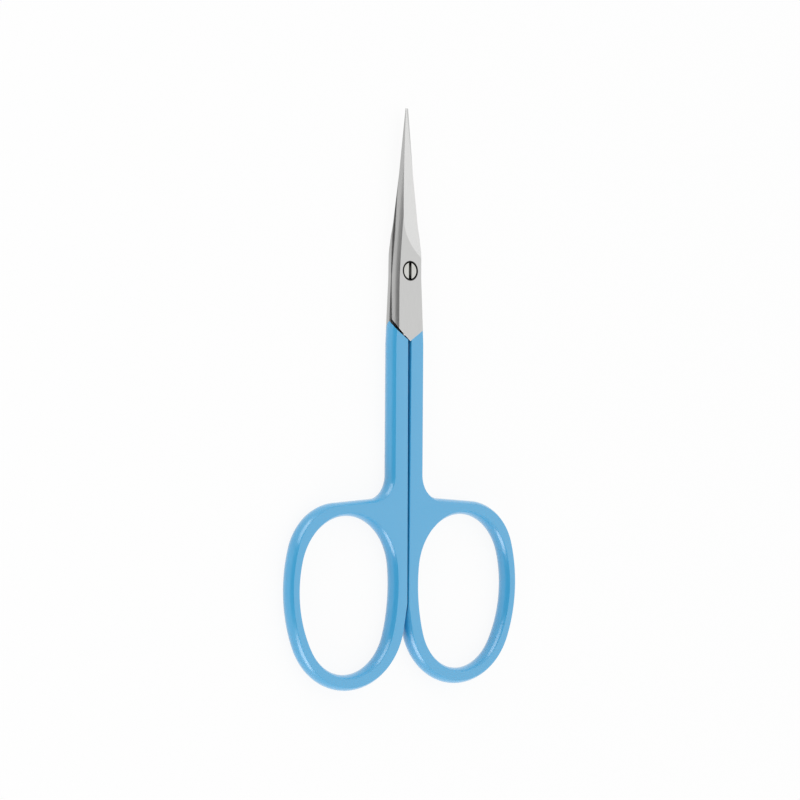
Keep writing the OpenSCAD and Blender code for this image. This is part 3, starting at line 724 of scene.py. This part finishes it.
# the slot's cutter runs past the head and stands half above it
long = add(tree, "ShaderNodeMath", {0: given["Head Radius"], 1: 3.0}, operation="MULTIPLY")
deep = add(tree, "ShaderNodeMath", {0: given["Slot Depth"], 1: 2.0}, operation="MULTIPLY")
slot = add(tree, "ShaderNodeCombineXYZ", {"X": given["Slot Width"], "Y": long, "Z": deep})
slot = add(tree, "GeometryNodeMeshCube", {"Size": slot})
slot = add(tree, "GeometryNodeTransform", {"Geometry": slot, "Translation": (0, 0, HEAD_TOP * MM)})
head = add(tree, "GeometryNodeMeshBoolean", {0: head, 1: [slot]}, operation="DIFFERENCE", solver="MANIFOLD")
neck = {"Vertices": ROUND_SIDES, "Radius": given["Neck Radius"], "Depth": NECK_H * MM}
neck = add(tree, "GeometryNodeMeshCylinder", neck)
neck = add(tree, "GeometryNodeTransform", {"Geometry": neck, "Translation": (0, 0, NECK_MID * MM)})
shaft = {"Vertices": ROUND_SIDES, "Radius": given["Root Radius"], "Depth": SHAFT_H * MM}
shaft = add(tree, "GeometryNodeMeshCylinder", shaft)
shaft = add(tree, "GeometryNodeTransform", {"Geometry": shaft, "Translation": (0, 0, SHAFT_MID * MM)})
turns = {"Resolution": 64, "Rotations": THREAD_TURNS, "Height": THREAD_H * MM}
turns |= {"Start Radius": THREAD_R * MM, "End Radius": THREAD_R * MM}
helix = add(tree, "GeometryNodeCurveSpiral", turns)
profile = add(tree, "GeometryNodeCurvePrimitiveCircle", {"Resolution": 4, "Radius": RIDGE_R * MM})
ridge = add(tree, "GeometryNodeCurveToMesh", {"Curve": helix, "Profile Curve": profile, "Fill Caps": True})
ridge = add(tree, "GeometryNodeTransform", {"Geometry": ridge, "Translation": (0, 0, THREAD_LOW * MM)})
parts = {1: [head, neck, shaft, ridge]}
screw = add(tree, "GeometryNodeMeshBoolean", parts, operation="UNION", solver="MANIFOLD")
end_tree(tree, screw, screw_steel)
pivot_piece = grow(tree, "slotted_pivot_screw", screw_sizes, FRONT)

# %% [markdown]
# A white table, a white studio round it and large soft lamps. The -X side,
# where the camera stands, is left dim, as it is in a photographer's tent, and
# that is what darkens the sides of the shanks near their creases. Two bright
# panels stand low on that side, beyond the tips and beyond the rings, and
# put pale streaks on the rounded sides.

# %% Table, world and lamps
TABLE, TABLE_DROP = 4.0, 0.02 * MM  # m from its middle to its edge, and how far it lies below the backs
PAPER_GLOW = 0.9  # share of plain white in the paper, as the camera and reflections see it
floor_mesh = bpy.data.meshes.new("table")
corners = [(-TABLE, -TABLE, 0), (TABLE, -TABLE, 0), (TABLE, TABLE, 0), (-TABLE, TABLE, 0)]
floor_mesh.from_pydata(corners, [], [(0, 1, 2, 3)])
floor = bpy.data.objects.new("table", floor_mesh)
bpy.context.scene.collection.objects.link(floor)
floor.location.z = -TABLE_DROP
paper, tree, shader = material("white_paper")
shader.inputs["Base Color"].default_value = linear("#F4F4F4")
shader.inputs["Roughness"].default_value = 0.9
rays = add(tree, "ShaderNodeLightPath").node.outputs
seen = add(tree, "ShaderNodeMath", {0: rays["Is Camera Ray"], 1: rays["Is Glossy Ray"]}, operation="ADD")
seen = {0: seen, 1: rays["Is Transmission Ray"]}
seen = add(tree, "ShaderNodeMath", seen, operation="ADD", use_clamp=True)
share = add(tree, "ShaderNodeMath", {0: seen, 1: PAPER_GLOW}, operation="MULTIPLY")
glow = add(tree, "ShaderNodeEmission", {"Color": (1, 1, 1, 1), "Strength": 1.0})
blend = add(tree, "ShaderNodeMixShader", {0: share, 1: shader.outputs[0], 2: glow})
tree.links.new(blend, tree.nodes["Material Output"].inputs["Surface"])
floor_mesh.materials.append(paper)

DIM_SIDE = Vector((-0.9, -0.12, 0.37)).normalized()
DIM_STRETCH = (1.0, 0.55, 1.0)  # the dim patch is drawn out along the scissors
DIM_START, DIM_FULL, DIM_LEAST = 0.42, 0.88, 0.22  # cosines from its middle, and its strength there
world = bpy.data.worlds.new("studio")
bpy.context.scene.world = world
world.use_nodes = True
tree = world.node_tree
background = tree.nodes["Background"]
background.inputs["Color"].default_value = linear("#FFFFFF")
aim = add(tree, "ShaderNodeTexCoord", out="Generated")
wide = add(tree, "ShaderNodeVectorMath", {0: aim, 1: DIM_STRETCH}, operation="MULTIPLY")
wide = add(tree, "ShaderNodeVectorMath", {0: wide}, operation="NORMALIZE")
facing = add(tree, "ShaderNodeVectorMath", {0: wide, 1: DIM_SIDE}, "Value", operation="DOT_PRODUCT")
fade = {"Value": facing, "From Min": DIM_START, "From Max": DIM_FULL, "To Min": 1.0, "To Max": DIM_LEAST}
dim = add(tree, "ShaderNodeMapRange", fade, interpolation_type="SMOOTHSTEP")
camera_ray = add(tree, "ShaderNodeLightPath", out="Is Camera Ray")
tree.links.new(add(tree, "ShaderNodeMix", {0: camera_ray, 2: dim, 3: 1.0}), background.inputs["Strength"])


def soft_box(name, place, wide, high, level):
    """A flat lamp that faces the scissors, as bright as level times white."""
    data = bpy.data.lights.new(name, "AREA")
    data.shape, data.size, data.size_y = "RECTANGLE", wide, high
    data.energy = math.pi * wide * high * level
    lamp = bpy.data.objects.new(name, data)
    lamp.location = place
    lamp.rotation_euler = (-Vector(place)).to_track_quat("-Z", "Y").to_euler()
    bpy.context.scene.collection.objects.link(lamp)


soft_box("key_right", (0.51, 0.0, 0.61), 0.8, 0.8, 0.3)
soft_box("panel_at_tips", (-0.44, 0.56, 0.17), 0.6, 0.34, 2.9)
soft_box("panel_at_rings", (-0.43, -0.57, 0.17), 0.5, 0.34, 4.2)
print("world dims towards", [round(v, 2) for v in DIM_SIDE])

# %% [markdown]
# Each piece rides on its body and stands in for one node of the CAD model.
# The two forms that only served as stock are removed.

# %% Ride on the bodies and finish
pieces = (
    (front_skin, "front", "front_coat", "blue_coat"),
    (rear_skin, "rear", "rear_coat", "blue_coat"),
    (front_steel, "front", "front_half", "steel"),
    (rear_steel, "rear", "rear_half", "steel"),
    (pivot_piece, "rear", "pivot_screw", "screw_steel"),
)
for piece, body, node, slot_name in pieces:
    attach(piece, body)
    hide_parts(node)
for helper in (coat_form, core_form):
    bpy.data.objects.remove(helper)

scene_view = bpy.context.scene.view_settings
scene_view.view_transform = "Standard"
